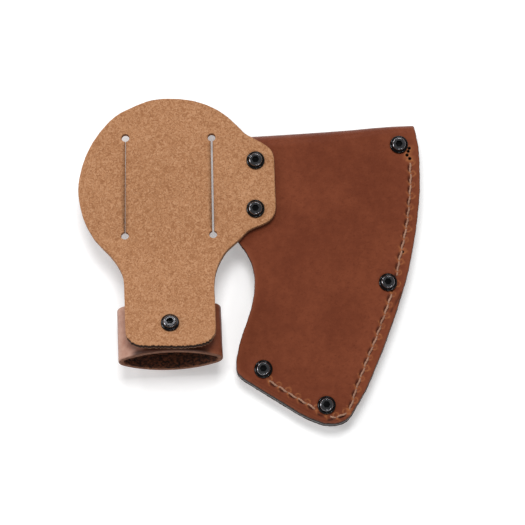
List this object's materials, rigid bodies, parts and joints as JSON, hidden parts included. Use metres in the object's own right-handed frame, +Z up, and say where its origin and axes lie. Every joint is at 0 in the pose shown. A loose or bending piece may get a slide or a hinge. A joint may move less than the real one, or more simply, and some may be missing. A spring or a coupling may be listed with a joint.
{
  "type": "leather belt sheath for a carving hatchet",
  "caption": "Leather belt sheath for a carving hatchet: stitched blade pocket with screwed edges, slotted round belt plate and a swivelling handle loop.",
  "frame": {"origin": "centre of the sheath's bounding box in plan, at the level it lies on", "axes": "+Z up, out of the belt side of the flat-lying sheath; +X from the belt plate towards the bit edge of the pocket; +Y towards the pocket's folded top"},
  "size_m": [0.151, 0.1446, 0.0296],
  "materials": {
    "carrier_leather": "tan sueded flesh side",
    "pocket_leather": "smooth waxed brown grain",
    "welt_leather": "burnished edge",
    "loop_leather": "smooth waxed brown grain",
    "waxed_thread": "waxed twisted thread",
    "black_screw": "glossy black oxide",
    "black_post": "satin black oxide"
  },
  "bodies": {
    "carrier": {"belt_carrier": "carrier_leather", "blade_pocket": "pocket_leather", "welt": "welt_leather", "bit_seam_thread": "waxed_thread", "heel_seam_thread": "waxed_thread", "toe_screw": "black_screw", "bit_screw": "black_screw", "heel_corner_screw": "black_screw", "heel_mouth_screw": "black_screw", "tab_upper_screw": "black_screw", "tab_lower_screw": "black_screw", "loop_screw": "black_screw", "toe_post": "black_post", "bit_post": "black_post", "heel_corner_post": "black_post", "heel_mouth_post": "black_post", "tab_upper_post": "black_post", "tab_lower_post": "black_post", "loop_post": "black_post"},
    "loop": {"handle_loop": "loop_leather"}
  },
  "joints": [
    {"name": "loop_swivel", "type": "hinge", "parent": "carrier", "child": "loop", "pos_m": [-0.034, -0.03195, 0.02347], "axis": [0, 0.2588, 0.9659], "range_deg": [-32.6, 27.4]}
  ]
}
